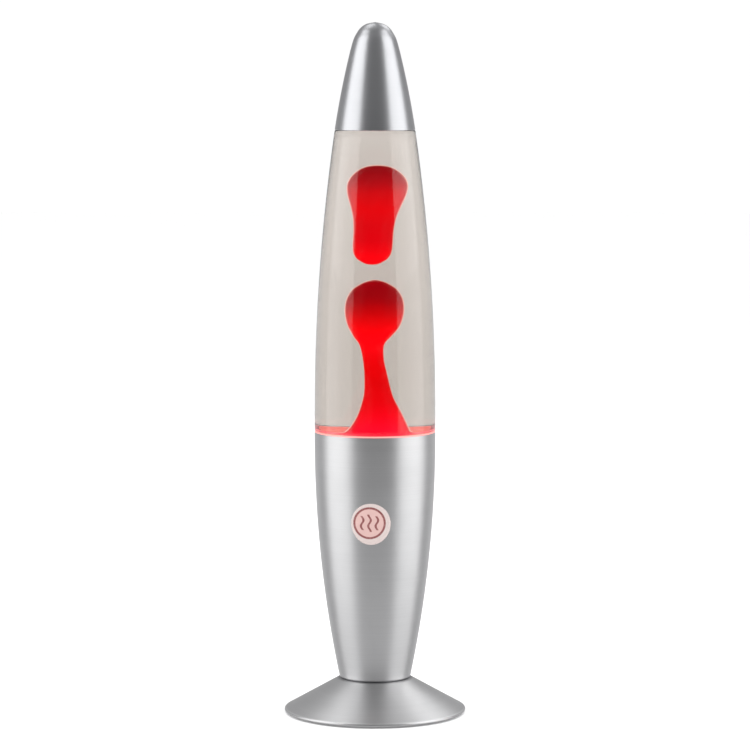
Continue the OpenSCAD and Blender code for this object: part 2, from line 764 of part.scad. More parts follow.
foot();
bottom_cover();
rubber_foot(0);  // rubber_foot_1
rubber_foot(1);  // rubber_foot_2
rubber_foot(2);  // rubber_foot_3
rubber_foot(3);  // rubber_foot_4
cord_grommet();
base_cup();
seat_ring();
label();
nipple();
cup_washer();
lock_washer();
lock_nut();
terminal_block();
terminal_tube(-tube_x);  // terminal_tube_1
terminal_tube(tube_x);  // terminal_tube_2
terminal_screws();
color([0.45, 0.25, 0.12]) lead(-1, leg_live_x - strip_t - 2 * snug);  // lead_live
color([0.15, 0.3, 0.65]) lead(1, leg_neutral_x - 2 * snug);  // lead_neutral
holder_base();
holder_core();
holder_sleeve();
thread_shell();
centre_contact();
side_contact();
holder_screws();
bulb_glass();
bulb_screw_cap();
bulb_insulator();
bulb_tip();
bulb_stem();
bulb_lead_wires();
bulb_filament();
glass_bottle();
bottle_cap();
cap_seal();
liquid();
wax_column();
wire_coil();
wax_blob();
top_cap();
cap_ring();
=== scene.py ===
"""Looks of the rocket-shaped lava lamp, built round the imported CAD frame.

Outlines are written in millimetres (radius, height) and turned into metres by lathe().
The front of the lamp faces -Y and the grommet is at +Y.
"""

import bisect
import math

import bmesh
import bpy
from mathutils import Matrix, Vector


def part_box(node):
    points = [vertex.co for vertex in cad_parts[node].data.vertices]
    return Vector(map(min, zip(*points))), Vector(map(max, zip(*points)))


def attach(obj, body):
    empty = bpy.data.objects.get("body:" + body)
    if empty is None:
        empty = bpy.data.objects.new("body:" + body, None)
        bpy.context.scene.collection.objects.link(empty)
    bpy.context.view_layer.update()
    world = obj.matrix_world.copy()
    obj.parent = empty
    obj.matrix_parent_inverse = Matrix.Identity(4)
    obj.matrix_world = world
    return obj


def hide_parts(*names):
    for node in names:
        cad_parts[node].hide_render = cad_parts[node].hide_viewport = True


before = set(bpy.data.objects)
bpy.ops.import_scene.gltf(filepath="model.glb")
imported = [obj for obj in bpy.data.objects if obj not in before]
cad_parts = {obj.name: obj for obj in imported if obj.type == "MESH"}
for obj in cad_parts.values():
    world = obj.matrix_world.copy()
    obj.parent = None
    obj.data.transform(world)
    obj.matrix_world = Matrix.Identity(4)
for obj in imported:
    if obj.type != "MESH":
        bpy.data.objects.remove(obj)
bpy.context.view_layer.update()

# ---- Sizes, in millimetres ----

MM = 0.001
ROUND = 256          # sides of a large turned piece
FEW = 96             # sides of a small turned piece


def high(node):
    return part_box(node)[1].z / MM


def low(node):
    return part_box(node)[0].z / MM


def half_width(node):
    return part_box(node)[1].x / MM


LAMP_H = high("top_cap")
SHOULDER_Z = low("top_cap")
CUP_Z = low("base_cup")
RIM_Z = high("base_cup")
GLASS_Z = high("seat_ring")
BOTTLE_Z = low("glass_bottle")
NECK_Z = high("glass_bottle")
LIQUID_Z = high("liquid")
BODY_R = half_width("base_cup")
THROAT_R = half_width("top_cap")
FOOT_R = half_width("foot")
CLOSURE_R = half_width("bottle_cap")

WAIST_R = 21.0
METAL_T = 1.0
CAP_T = 0.8
GLASS_T = 2.2
CUP_BOW = 700.0
GLASS_BOW = 1180.0
CAP_BOW = 520.0
NOSE_H = 16.0
NOSE_R = 14.35
NOSE_Z = LAMP_H - NOSE_H
NECK_R = 13.0
BORE_R = NECK_R - GLASS_T
SEAT_R = 33.5
BOTTLE_FOOT_R = 27.8
POOL_DROP = 4.4
POOL_Z = RIM_Z - POOL_DROP


# ---- Outlines ----

def bowed(z, bottom, top, bow):
    """Radius at height z of an arc of radius bow from bottom (r, z) up to top (r, z)."""
    r0, z0 = bottom
    r1, z1 = top
    dz, dr = z1 - z0, r1 - r0
    chord = math.hypot(dz, dr)
    away = math.sqrt(bow * bow - chord * chord / 4)
    centre_r = (r0 + r1) / 2 - away * dz / chord
    centre_z = (z0 + z1) / 2 + away * dr / chord
    return centre_r + math.sqrt(bow * bow - (z - centre_z) ** 2)


def cup_r(z):
    return bowed(z, (WAIST_R, CUP_Z), (BODY_R, RIM_Z), CUP_BOW)


def glass_r(z):
    return bowed(z, (BODY_R, GLASS_Z), (THROAT_R, SHOULDER_Z), GLASS_BOW)


def cap_r(z):
    return bowed(z, (THROAT_R, SHOULDER_Z), (NOSE_R, NOSE_Z), CAP_BOW)


def steps(a, b, n):
    return [a + (b - a) * i / n for i in range(n + 1)]


def arc(centre, r, start, end, n=12):
    """Points of an arc about centre (r, z), between two angles in degrees."""
    angles = [math.radians(a) for a in steps(start, end, n)]
    return [(centre[0] + r * math.cos(a), centre[1] + r * math.sin(a)) for a in angles]


def smooth(points, n=8):
    """A soft curve through the points, with n short pieces between each two."""
    last = len(points) - 1
    line = []
    for i in range(last):
        a, b = points[max(i - 1, 0)], points[i]
        c, d = points[i + 1], points[min(i + 2, last)]
        for j in range(n):
            t = j / n
            line.append(tuple(
                0.5 * (2 * q + (r - p) * t + (2 * p - 5 * q + 4 * r - s) * t * t
                       + (3 * q - p - 3 * r + s) * t ** 3)
                for p, q, r, s in zip(a, b, c, d)
            ))
    line.append(tuple(points[last]))
    return line


# ---- Meshes ----

def shade(mesh, sharp):
    """Soft shading, with crisp edges where the surface turns by more than sharp degrees."""
    mesh.polygons.foreach_set("use_smooth", [True] * len(mesh.polygons))
    mesh.set_sharp_from_angle(angle=math.radians(sharp))


def finish_mesh(name, mesh, sharp=30):
    """Makes the piece from its mesh, with every face turned outwards."""
    work = bmesh.new()
    work.from_mesh(mesh)
    bmesh.ops.recalc_face_normals(work, faces=work.faces)
    work.to_mesh(mesh)
    work.free()
    shade(mesh, sharp)
    piece = bpy.data.objects.new(name, mesh)
    bpy.context.scene.collection.objects.link(piece)
    return piece


def lathe(name, outline, sides=ROUND, sharp=30, sway=None):
    """Turns a closed outline of (radius, height) round the axis. sway(z) moves each height sideways."""
    verts, faces, rings = [], [], []
    for r, z in outline:
        dx, dy = sway(z) if sway else (0, 0)
        if r < 1e-6:
            rings.append([len(verts)] * sides)
            verts.append((dx * MM, dy * MM, z * MM))
            continue
        rings.append(list(range(len(verts), len(verts) + sides)))
        for k in range(sides):
            a = 2 * math.pi * k / sides
            verts.append(((dx + r * math.cos(a)) * MM, (dy + r * math.sin(a)) * MM, z * MM))
    n = len(rings)
    for i in range(n):
        one, two = rings[i], rings[(i + 1) % n]
        for k in range(sides):
            m = (k + 1) % sides
            corners = [one[k], one[m], two[m], two[k]]
            face = list(dict.fromkeys(corners))
            if len(face) > 2:
                faces.append(face)
    mesh = bpy.data.meshes.new(name)
    mesh.from_pydata(verts, [], faces)
    mesh.validate()
    return finish_mesh(name, mesh, sharp)


def cut(piece, cutter):
    """Takes the cutter out of the piece and removes the cutter."""
    step = piece.modifiers.new("cut", "BOOLEAN")
    step.operation = "DIFFERENCE"
    step.solver = "EXACT"
    step.object = cutter
    graph = bpy.context.evaluated_depsgraph_get()
    mesh = bpy.data.meshes.new_from_object(piece.evaluated_get(graph))
    piece.modifiers.clear()
    piece.data = mesh
    bpy.data.objects.remove(cutter)
    shade(mesh, 30)


def block(name, x, y, z):
    """A plain box between two limits on each axis, used only to cut with."""
    work = bmesh.new()
    bmesh.ops.create_cube(work, size=1)
    for v in work.verts:
        for axis, (a, b) in enumerate((x, y, z)):
            v.co[axis] = (a if v.co[axis] < 0 else b) * MM
    mesh = bpy.data.meshes.new(name)
    work.to_mesh(mesh)
    work.free()
    return finish_mesh(name, mesh)


# ---- Shader helpers ----

class Nodes:
    """Short ways to place nodes in a tree."""

    def __init__(self, tree):
        self.tree = tree

    def feed(self, value, socket):
        """Links another node's output to the socket, or sets it when value is a plain number or colour."""
        if isinstance(value, bpy.types.NodeSocket):
            self.tree.links.new(value, socket)
        else:
            socket.default_value = value

    def add(self, kind, inputs=None, **settings):
        node = self.tree.nodes.new(kind)
        for key, value in settings.items():
            setattr(node, key, value)
        for key, value in (inputs or {}).items():
            self.feed(value, node.inputs[key])
        return node

    def math(self, operation, a, b=0.0, c=0.0, clamp=False):
        node = self.add("ShaderNodeMath", operation=operation, use_clamp=clamp)
        for socket, value in zip(node.inputs, (a, b, c)):
            self.feed(value, socket)
        return node.outputs[0]

    def span(self, value, a, b, c=0.0, d=1.0, soft=True):
        """value from a..b becomes c..d."""
        node = self.add(
            "ShaderNodeMapRange",
            {"Value": value, "From Min": a, "From Max": b, "To Min": c, "To Max": d},
            interpolation_type="SMOOTHSTEP" if soft else "LINEAR",
        )
        return node.outputs["Result"]

    def mix(self, factor, a, b):
        node = self.add("ShaderNodeMix", data_type="RGBA")
        for socket, value in ((node.inputs[0], factor), (node.inputs[6], a), (node.inputs[7], b)):
            self.feed(value, socket)
        return node.outputs[2]

    def noise(self, vector, scale, detail=4.0, rough=0.6):
        return self.add(
            "ShaderNodeTexNoise",
            {"Vector": vector, "Scale": scale, "Detail": detail, "Roughness": rough},
        ).outputs["Fac"]

    def group(self, tree, **inputs):
        node = self.add("ShaderNodeGroup")
        node.node_tree = tree
        for key, value in inputs.items():
            self.feed(value, node.inputs[key.replace("_", " ")])
        return node

    def place(self):
        """The point on the piece, in metres."""
        return self.add("ShaderNodeTexCoord").outputs["Object"]

    def parts(self, vector):
        return self.add("ShaderNodeSeparateXYZ", {"Vector": vector}).outputs

    def bump(self, height, strength, distance):
        return self.add("ShaderNodeBump", {
            "Height": height, "Strength": strength, "Distance": distance,
        }).outputs[0]


def new_group(name, inputs, outputs):
    """A shader node group. Returns its tree, its helper, its input sockets and its output sockets."""
    tree = bpy.data.node_groups.new(name, "ShaderNodeTree")
    for label, kind, value in inputs:
        socket = tree.interface.new_socket(label, in_out="INPUT", socket_type=kind)
        socket.default_value = value
    for label, kind in outputs:
        tree.interface.new_socket(label, in_out="OUTPUT", socket_type=kind)
    n = Nodes(tree)
    start = n.add("NodeGroupInput")
    end = n.add("NodeGroupOutput")
    return tree, n, start.outputs, end.inputs


def rgb(r, g, b):
    return (r, g, b, 1.0)


FLOAT, COLOUR, VECTOR = "NodeSocketFloat", "NodeSocketColor", "NodeSocketVector"


def brushing_group():
    """Fine lines round the axis, as spinning and brushing leave them."""
    tree, n, given, out = new_group(
        "brushed round the axis",
        [("Lines per metre", FLOAT, 1500.0), ("Contrast", FLOAT, 0.1)],
        [("Shade", FLOAT), ("Roughness", FLOAT), ("Height", FLOAT)],
    )
    place = n.place()
    part = n.parts(place)
    radius = n.math("SQRT", n.math("ADD", n.math("MULTIPLY", part[0], part[0]),
                                   n.math("MULTIPLY", part[1], part[1])))
    along = n.math("SUBTRACT", part[2], radius)
    fine = n.add("ShaderNodeCombineXYZ", {
        "X": n.math("MULTIPLY", part[0], 9.0),
        "Y": n.math("MULTIPLY", part[1], 9.0),
        "Z": n.math("MULTIPLY", along, given["Lines per metre"]),
    }).outputs[0]
    lines = n.noise(fine, 1.0, 5.0, 0.75)
    broad = n.add("ShaderNodeCombineXYZ", {
        "X": n.math("MULTIPLY", part[0], 5.0),
        "Y": n.math("MULTIPLY", part[1], 5.0),
        "Z": n.math("MULTIPLY", along, n.math("MULTIPLY", given["Lines per metre"], 0.13)),
    }).outputs[0]
    bands = n.noise(broad, 1.0, 3.0, 0.6)
    both = n.math("ADD", n.math("MULTIPLY", lines, 0.7), n.math("MULTIPLY", bands, 0.3))
    centred = n.math("SUBTRACT", both, 0.5)
    n.feed(n.math("ADD", n.math("MULTIPLY", centred, given["Contrast"]), 1.0), out["Shade"])
    n.feed(n.math("MULTIPLY", centred, given["Contrast"]), out["Roughness"])
    n.feed(lines, out["Height"])
    return tree


def grain_group():
    """Uneven tone, roughness and relief of a moulded, cast or plated surface."""
    tree, n, given, out = new_group(
        "surface grain",
        [("Colour", COLOUR, rgb(0.5, 0.5, 0.5)), ("Scale", FLOAT, 2000.0),
         ("Tone", FLOAT, 0.1), ("Roughness", FLOAT, 0.5), ("Roughness spread", FLOAT, 0.1)],
        [("Colour", COLOUR), ("Roughness", FLOAT), ("Height", FLOAT)],
    )
    place = n.place()
    fine = n.noise(place, given["Scale"], 4.0, 0.6)
    wide = n.noise(place, 60.0, 3.0, 0.5)
    shade = n.math("ADD", n.math("MULTIPLY", n.math("SUBTRACT", wide, 0.5), given["Tone"]), 1.0)
    tinted = n.add("ShaderNodeVectorMath", {0: given["Colour"]}, operation="SCALE")
    n.feed(shade, tinted.inputs["Scale"])
    n.feed(tinted.outputs[0], out["Colour"])
    both = n.math("ADD", n.math("MULTIPLY", fine, 0.5), n.math("MULTIPLY", wide, 0.5))
    spread = n.math("MULTIPLY", n.math("SUBTRACT", both, 0.5), given["Roughness spread"])
    n.feed(n.math("ADD", given["Roughness"], spread, clamp=True), out["Roughness"])
    n.feed(fine, out["Height"])
    return tree


def smudge_group():
    """Faint marks of handling: patches a little duller or clearer than the rest."""
    tree, n, given, out = new_group(
        "handling marks",
        [("Scale", FLOAT, 40.0), ("Amount", FLOAT, 0.05)],
        [("Roughness", FLOAT)],
    )
    place = n.place()
    patches = n.noise(place, given["Scale"], 5.0, 0.65)
    marks = n.span(patches, 0.45, 0.7)
    n.feed(n.math("MULTIPLY", marks, given["Amount"]), out["Roughness"])
    return tree


BRUSHING = brushing_group()
GRAIN = grain_group()
SMUDGES = smudge_group()


def new_material(name):
    """A material with an empty tree, its output and a Principled shader."""
    material = bpy.data.materials.new(name)
    material.use_nodes = True
    material.node_tree.nodes.clear()
    n = Nodes(material.node_tree)
    end = n.add("ShaderNodeOutputMaterial")
    shader = n.add("ShaderNodeBsdfPrincipled")
    n.feed(shader.outputs[0], end.inputs["Surface"])
    return material, n, shader, end


# ---- Materials ----

# Paler edge line: partly wear to bare metal, partly a painted highlight.
EDGE_WEAR_AND_HIGHLIGHT = rgb(0.86, 0.86, 0.87)
# Painted shade: darker colour in the seam where the cup meets the foot.
PAINTED_SEAM_SHADE = rgb(0.36, 0.36, 0.37)


def spun_aluminium(name, colour, roughness, lines, contrast, bands):
    """Satin aluminium brushed round the axis.

    bands are (height, half-width, strength, colour), in millimetres: paler along an edge, partly worn
    to bare metal and partly a painted highlight; painted shade darkening the seam between parts."""
    material, n, shader, _ = new_material(name)
    brushed = n.group(BRUSHING, Lines_per_metre=lines, Contrast=contrast)
    marks = n.group(SMUDGES, Scale=38.0, Amount=0.05)
    tone = n.add("ShaderNodeVectorMath", {0: colour[:3]}, operation="SCALE")
    n.feed(brushed.outputs["Shade"], tone.inputs["Scale"])
    shown = tone.outputs[0]
    height = n.parts(n.place())[2]
    # Each band paints its colour over the metal: paler edge lines, partly painted highlight, and painted
    # seam shade.
    for z, width, strength, band_colour in bands:
        gap = n.math("ABSOLUTE", n.math("SUBTRACT", height, z * MM))
        shown = n.mix(n.span(gap, 0.0, width * MM, strength, 0.0), shown, band_colour)
    n.feed(shown, shader.inputs["Base Color"])
    rough = n.math("ADD", roughness, n.math("MULTIPLY", brushed.outputs["Roughness"], 0.8))
    rough = n.math("ADD", rough, marks.outputs["Roughness"], clamp=True)
    n.feed(rough, shader.inputs["Roughness"])
    shader.inputs["Metallic"].default_value = 1.0
    shader.inputs["Anisotropic"].default_value = 0.5
    shader.inputs["Anisotropic Rotation"].default_value = 0.25
    around = n.add("ShaderNodeTangent", direction_type="RADIAL", axis="Z")
    n.feed(around.outputs[0], shader.inputs["Tangent"])
    n.feed(n.bump(brushed.outputs["Height"], 0.12, 0.00008), shader.inputs["Normal"])
    return material


def plated(name, colour, roughness, scale=900.0, relief=0.05):
    """Small metal parts: plate or turned brass with faint unevenness."""
    material, n, shader, _ = new_material(name)
    grain = n.group(GRAIN, Colour=colour, Scale=scale, Tone=0.25,
                    Roughness=roughness, Roughness_spread=0.25)
    n.feed(grain.outputs["Colour"], shader.inputs["Base Color"])
    n.feed(grain.outputs["Roughness"], shader.inputs["Roughness"])
    shader.inputs["Metallic"].default_value = 1.0
    n.feed(n.bump(grain.outputs["Height"], relief, 0.0001), shader.inputs["Normal"])
    return material


def moulded(name, colour, roughness, scale=2500.0, tone=0.12, relief=0.15, coat=0.0):
    """Plastic, rubber, ceramic or paper with its own fine grain."""
    material, n, shader, _ = new_material(name)
    grain = n.group(GRAIN, Colour=colour, Scale=scale, Tone=tone,
                    Roughness=roughness, Roughness_spread=0.2)
    n.feed(grain.outputs["Colour"], shader.inputs["Base Color"])
    n.feed(grain.outputs["Roughness"], shader.inputs["Roughness"])
    shader.inputs["Coat Weight"].default_value = coat
    n.feed(n.bump(grain.outputs["Height"], relief, 0.0001), shader.inputs["Normal"])
    return material


def let_light_through(n, shader, end):
    """Light passes through the piece instead of being stopped by it."""
    clear = n.add("ShaderNodeBsdfTransparent")
    shadow = n.add("ShaderNodeLightPath").outputs["Is Shadow Ray"]
    both = n.add("ShaderNodeMixShader", {0: shadow})
    n.feed(shader.outputs[0], both.inputs[1])
    n.feed(clear.outputs[0], both.inputs[2])
    n.feed(both.outputs[0], end.inputs["Surface"])


def bottle_glass():
    """Clear pressed glass, with faint handling marks."""
    material, n, shader, end = new_material("bottle_glass")
    marks = n.group(SMUDGES, Scale=45.0, Amount=0.012)
    grain = n.group(GRAIN, Colour=rgb(0.985, 0.99, 0.985), Scale=70.0, Tone=0.01,
                    Roughness=0.0, Roughness_spread=0.0)
    n.feed(grain.outputs["Colour"], shader.inputs["Base Color"])
    n.feed(marks.outputs["Roughness"], shader.inputs["Roughness"])
    shader.inputs["Transmission Weight"].default_value = 1.0
    shader.inputs["IOR"].default_value = 1.5
    shader.inputs["Specular Tint"].default_value = rgb(0.22, 0.22, 0.22)
    let_light_through(n, shader, end)
    return material


def clear_liquid():
    """Water-clear oil, a little warm in its depth, with drifting density."""
    material, n, shader, end = new_material("clear_liquid")
    grain = n.group(GRAIN, Colour=rgb(0.80, 0.75, 0.72), Scale=25.0, Tone=0.03,
                    Roughness=0.0, Roughness_spread=0.0)
    n.feed(grain.outputs["Colour"], shader.inputs["Base Color"])
    shader.inputs["Roughness"].default_value = 0.0
    shader.inputs["Transmission Weight"].default_value = 1.0
    shader.inputs["IOR"].default_value = 1.36
    depth = n.add("ShaderNodeVolumeAbsorption", {"Color": rgb(0.82, 0.79, 0.765), "Density": 28.0})
    n.feed(depth.outputs[0], end.inputs["Volume"])
    let_light_through(n, shader, end)
    return material


# Painted glow on the flat top of the wax pool, and a painted rim highlight along the wax's outline.
POOL_GLOW = rgb(1.30, 0.29, 0.34)
EDGE_GLOW = rgb(1.05, 0.66, 0.56)


def glow_ramp(n, height, ladder):
    """Colour that follows a ladder of (height above the pool, red, green, blue)."""
    bottom, top = POOL_Z + ladder[0][0], POOL_Z + ladder[-1][0]
    level = n.span(height, bottom * MM, top * MM, soft=False)
    ramp = n.add("ShaderNodeValToRGB", {"Fac": level})
    stops = ramp.color_ramp.elements
    stops.remove(stops[-1])
    for i, (h, r, g, b) in enumerate(ladder):
        at = (h - ladder[0][0]) / (ladder[-1][0] - ladder[0][0])
        stop = stops[0] if i == 0 else stops.new(at)
        stop.position = at
        stop.color = rgb(r, g, b)
    return ramp.outputs["Color"]


def red_wax(name, ladder):
    """Translucent red wax, with the bulb's light from below painted into its emission: painted shade on
    faces turned up and towards the outline, a painted pale rim line where it curves out of sight, and a
    painted glow on the pool's flat top.
    """
    material, n, shader, _ = new_material(name)
    place = n.place()
    height = n.parts(place)[2]
    drift = n.math("MULTIPLY", n.math("SUBTRACT", n.noise(place, 60.0, 2.0), 0.5), 0.006)
    normal = n.add("ShaderNodeNewGeometry").outputs["Normal"]
    up = n.parts(normal)[2]
    turned = n.add("ShaderNodeLayerWeight", {"Blend": 0.5}).outputs["Facing"]
    # Painted shade: brighter on faces turned down towards the bulb, darker on faces turned up.
    from_below = n.span(up, -0.8, 0.9, 1.12, 0.85)
    # Painted shade, darker towards the outline.
    outline_shade = n.span(turned, 0.4, 0.75, 1.0, 0.72)
    colour = glow_ramp(n, n.math("ADD", height, drift), ladder)
    glow = n.add("ShaderNodeVectorMath", {0: colour}, operation="SCALE")
    n.feed(n.math("MULTIPLY", from_below, outline_shade), glow.inputs["Scale"])
    # Painted rim highlight: a pale line where the surface curves out of sight.
    edged = n.mix(n.span(turned, 0.66, 0.84), glow.outputs[0], EDGE_GLOW)
    # Painted glow on the flat top of the pool.
    near_pool = n.span(height, (POOL_Z + 4) * MM, (POOL_Z + 1) * MM)
    flat = n.math("MULTIPLY", n.span(up, 0.55, 0.95), near_pool)
    n.feed(n.mix(flat, edged, POOL_GLOW), shader.inputs["Emission Color"])
    shader.inputs["Emission Strength"].default_value = 1.0

    grain = n.group(GRAIN, Colour=rgb(0.30, 0.002, 0.006), Scale=300.0, Tone=0.15,
                    Roughness=0.3, Roughness_spread=0.08)
    n.feed(grain.outputs["Colour"], shader.inputs["Base Color"])
    n.feed(grain.outputs["Roughness"], shader.inputs["Roughness"])
    shader.inputs["Specular IOR Level"].default_value = 0.0
    shader.inputs["Coat Weight"].default_value = 1.0
    shader.inputs["Coat Roughness"].default_value = 0.05
    shader.inputs["Coat IOR"].default_value = 1.12
    n.feed(n.bump(n.noise(place, 90.0, 2.0), 0.08, 0.001), shader.inputs["Normal"])
    return material


def clear_silicone():
    """Clear silicone with the wax's pink light painted on, as a pink base colour and a pink glow."""
    material, n, shader, _ = new_material("clear_silicone")
    # Painted light: the pink base colour stands in for the wax's light on the clear silicone.
    grain = n.group(GRAIN, Colour=rgb(0.42, 0.15, 0.14), Scale=500.0, Tone=0.1,
                    Roughness=0.35, Roughness_spread=0.2)
    n.feed(grain.outputs["Colour"], shader.inputs["Base Color"])
    n.feed(grain.outputs["Roughness"], shader.inputs["Roughness"])
    # Painted glow of the wax's pink light.
    glow = n.mix(grain.outputs["Height"], rgb(1.20, 0.25, 0.21), rgb(1.35, 0.34, 0.30))
    n.feed(glow, shader.inputs["Emission Color"])
    shader.inputs["Emission Strength"].default_value = 1.0
    n.feed(n.bump(grain.outputs["Height"], 0.1, 0.0002), shader.inputs["Normal"])
    return material


def printed_label(centre):
    """Pale film with a plain ring and three rising heat lines. centre is (x, z) in millimetres."""
    material, n, shader, _ = new_material("label_film")
    place = n.place()
    part = n.parts(place)
    x = n.math("MULTIPLY", n.math("SUBTRACT", part[0], centre[0] * MM), 1 / MM)
    z = n.math("MULTIPLY", n.math("SUBTRACT", part[2], centre[1] * MM), 1 / MM)
    across = n.math("SQRT", n.math("ADD", n.math("MULTIPLY", x, x), n.math("MULTIPLY", z, z)))

    ring_r, ring_half, soft = 8.9, 0.62, 0.2
    off_ring = n.math("ABSOLUTE", n.math("SUBTRACT", across, ring_r))
    ink = n.span(off_ring, ring_half - soft, ring_half + soft, 1.0, 0.0)

    line_gap, line_half, line_h, swing = 4.3, 0.66, 5.4, 0.75
    wave = n.math("MULTIPLY", n.math("SINE", n.math("MULTIPLY", z, 0.9)), swing)
    for i in (-1, 0, 1):
        off = n.math("ABSOLUTE", n.math("SUBTRACT", x, n.math("ADD", wave, i * line_gap)))
        on_line = n.span(off, line_half - soft, line_half + soft, 1.0, 0.0)
        ends = n.span(n.math("ABSOLUTE", z), line_h - abs(i) - 0.5, line_h - abs(i), 1.0, 0.0)
        ink = n.math("MAXIMUM", ink, n.math("MULTIPLY", on_line, ends))

    outside = n.span(across, ring_r - 0.5, ring_r + 0.5)
    tint = n.mix(outside, rgb(0.57, 0.37, 0.345), rgb(0.54, 0.455, 0.435))
    paper = n.group(GRAIN, Colour=tint, Scale=1500.0, Tone=0.08, Roughness=0.5, Roughness_spread=0.15)
    faded = n.math("MULTIPLY", ink, n.span(n.noise(place, 900.0, 3.0), 0.2, 0.6, 0.75, 1.0))
    n.feed(n.mix(faded, paper.outputs["Colour"], rgb(0.21, 0.055, 0.055)), shader.inputs["Base Color"])
    n.feed(paper.outputs["Roughness"], shader.inputs["Roughness"])
    n.feed(n.bump(paper.outputs["Height"], 0.1, 0.00005), shader.inputs["Normal"])
    return material


def reflector_glass(mirror_z, face_z):
    """Reflector bulb: mirrored below mirror_z, frosted above it. Heights in millimetres."""
    material, n, shader, _ = new_material("bulb_glass")
    place = n.place()
    height = n.parts(place)[2]
    grain = n.group(GRAIN, Colour=rgb(0.86, 0.87, 0.88), Scale=600.0, Tone=0.08,
                    Roughness=0.12, Roughness_spread=0.1)
    frost = n.span(height, (mirror_z - 0.5) * MM, (mirror_z + 0.5) * MM)
    n.feed(n.mix(frost, grain.outputs["Colour"], rgb(0.93, 0.92, 0.9)), shader.inputs["Base Color"])
    rough = n.math("ADD", grain.outputs["Roughness"], n.math("MULTIPLY", frost, 0.3))
    n.feed(rough, shader.inputs["Roughness"])
    n.feed(n.math("SUBTRACT", 1.0, frost), shader.inputs["Metallic"])
    warm = n.mix(n.span(height, mirror_z * MM, face_z * MM), rgb(0, 0, 0), rgb(1.0, 0.82, 0.6))
    n.feed(warm, shader.inputs["Emission Color"])
    shader.inputs["Emission Strength"].default_value = 1.2
    return material


def clear_stem():
    """Clear glass of the bulb's stem."""
    material, n, shader, end = new_material("stem_glass")
    grain = n.group(GRAIN, Colour=rgb(0.95, 0.96, 0.96), Scale=400.0, Tone=0.02,
                    Roughness=0.02, Roughness_spread=0.02)
    n.feed(grain.outputs["Colour"], shader.inputs["Base Color"])
    n.feed(grain.outputs["Roughness"], shader.inputs["Roughness"])
    shader.inputs["Transmission Weight"].default_value = 1.0
    let_light_through(n, shader, end)
    return material


# ---- Metal shells ----

BEAD_R = 1.1
BEAD_X = FOOT_R - BEAD_R
BEAD_Z = 0.8 + BEAD_R
BEAD_START = 75      # where the rolled rim leaves the cone, and how far it turns, in degrees
BEAD_TURN = 285
FOOT_TOP_R = WAIST_R + 1
FOOT_BEVEL = 0.3
GROMMET_R = 5.0
GROMMET_Z = 5.0
GROMMET_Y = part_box("cord_grommet")[0].y / MM
NOTCH_DEPTH = 40.0
NOTCH_PINCH = 0.94   # width of the notch's straight part, as a share of its round top
NIPPLE_R = half_width("nipple")
SNUG = 0.05


def foot():
    """The flared foot with its rolled rim and the round-topped notch for the grommet."""
    cone_z = CUP_Z - FOOT_BEVEL
    bead_r = BEAD_X + BEAD_R * math.cos(math.radians(BEAD_START))
    bead_z = BEAD_Z + BEAD_R * math.sin(math.radians(BEAD_START))
    slope = math.atan2(cone_z - bead_z, bead_r - FOOT_TOP_R)

    def inside(z):
        return FOOT_TOP_R + (cone_z - z) / math.tan(slope) - METAL_T / math.sin(slope)

    outline = [(NIPPLE_R + SNUG, CUP_Z), (FOOT_TOP_R - 0.6, CUP_Z), (FOOT_TOP_R, cone_z)]
    for t in steps(0.04, 0.96, 12):
        outline.append((FOOT_TOP_R + (bead_r - FOOT_TOP_R) * t, cone_z + (bead_z - cone_z) * t))
    outline += arc((BEAD_X, BEAD_Z), BEAD_R, BEAD_START, BEAD_START - BEAD_TURN, 28)
    outline += [
        (inside(BEAD_Z + BEAD_R), BEAD_Z + BEAD_R), (inside(CUP_Z - METAL_T), CUP_Z - METAL_T),
        (NIPPLE_R + SNUG, CUP_Z - METAL_T),
    ]
    piece = lathe("foot_shell", outline)

    notch_r = GROMMET_R + SNUG
    notch = lathe("notch", [(0, 0), (notch_r, 0), (notch_r, NOTCH_DEPTH), (0, NOTCH_DEPTH)], FEW)
    notch.rotation_euler = (math.radians(-90), 0, 0)
    notch.location = (0, (GROMMET_Y - SNUG) * MM, GROMMET_Z * MM)
    bpy.context.view_layer.update()
    cut(piece, notch)
    half = NOTCH_PINCH * notch_r
    back = GROMMET_Y - SNUG + NOTCH_DEPTH
    cut(piece, block("notch_low", (-half, half), (GROMMET_Y - SNUG, back), (-5, GROMMET_Z)))
    return piece


def base_cup():
    """The tall cup, drawn from one sheet, with a small radius where it meets the foot."""
    corner = 1.6
    rise = steps(CUP_Z + corner, RIM_Z - 0.25, 60)
    corner_r = cup_r(CUP_Z + corner) - corner
    outline = [(NIPPLE_R + SNUG, CUP_Z)]
    outline += arc((corner_r, CUP_Z + corner), corner, -90, -6, 10)
    outline += [(cup_r(z), z) for z in rise]
    outline += [(cup_r(RIM_Z) - 0.25, RIM_Z), (cup_r(RIM_Z) - METAL_T + 0.2, RIM_Z)]
    outline += [(cup_r(z) - METAL_T, z) for z in reversed(rise)]
    outline += [(corner_r, CUP_Z + METAL_T), (NIPPLE_R + SNUG, CUP_Z + METAL_T)]
    return lathe("cup_shell", outline)


